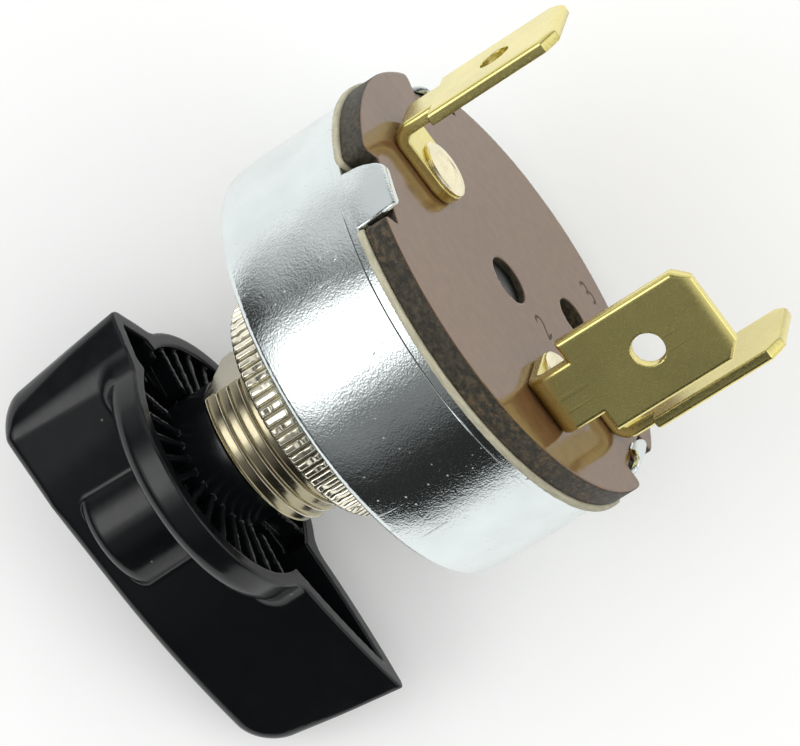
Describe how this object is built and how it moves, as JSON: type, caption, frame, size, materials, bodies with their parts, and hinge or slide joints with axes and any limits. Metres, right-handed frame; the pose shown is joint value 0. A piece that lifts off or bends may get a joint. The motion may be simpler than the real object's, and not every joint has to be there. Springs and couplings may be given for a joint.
{
  "type": "rotary switch",
  "caption": "Panel rotary switch with a pointer knob, threaded bushing and knurled nut, a round steel cup and a terminal board with upright push-on tabs.",
  "frame": {"origin": "centre of the bushing on the cup's panel face", "axes": "+Z along the shaft to the tabs, with the knob at -Z; +X is the way the knob's pointer points in its middle position"},
  "size_m": [0.0326, 0.029, 0.0432],
  "materials": {
    "zinc_plate": "bright zinc plate with a bluish cast",
    "fibre": "cream vulcanised fibre",
    "phenolic": "mauve brown paper phenolic, glossy face, raw dark edge",
    "tab_brass": "rolled brass",
    "rivet_brass": "bright headed brass",
    "contact_brass": "spring brass",
    "nickel": "warm nickel plate",
    "inner_steel": "plain steel",
    "nylon": "natural nylon",
    "moulding": "dark moulding",
    "knob_black": "glossy black moulding"
  },
  "bodies": {
    "housing": {"cup": "zinc_plate", "cup_liner": "fibre", "fibre_ring": "fibre", "terminal_board": "phenolic", "terminal_1": "tab_brass", "terminal_2": "tab_brass", "terminal_3": "tab_brass", "contact_rivets": "rivet_brass", "bushing": "nickel", "panel_nut": "nickel", "index_plate": "inner_steel", "thrust_washer": "rivet_brass"},
    "rotor": {"shaft": "inner_steel", "knob": "knob_black", "knob_clip": "inner_steel", "contact_spring": "inner_steel"},
    "contact_bridge": {"contact_carrier": "moulding", "contact_plate": "contact_brass"},
    "detent": {"ball_carrier": "nylon", "detent_balls": "inner_steel"}
  },
  "joints": [
    {"name": "knob_turn", "type": "hinge", "parent": "housing", "child": "rotor", "pos_m": [0, 0, 0], "axis": [0, 0, 1], "range_deg": [-45, 45]},
    {"name": "contact_press", "type": "slide", "parent": "rotor", "child": "contact_bridge", "axis": [0, 0, 1], "range_m": [-0.0004, 0], "stiffness_N_per_m": 500, "springref_m": 0.002, "deforming": ["contact_spring"]},
    {"name": "detent_lift", "type": "slide", "parent": "rotor", "child": "detent", "axis": [0, 0, 1], "range_m": [0, 0.0003], "stiffness_N_per_m": 500, "springref_m": -0.002, "deforming": ["contact_spring"]}
  ]
}
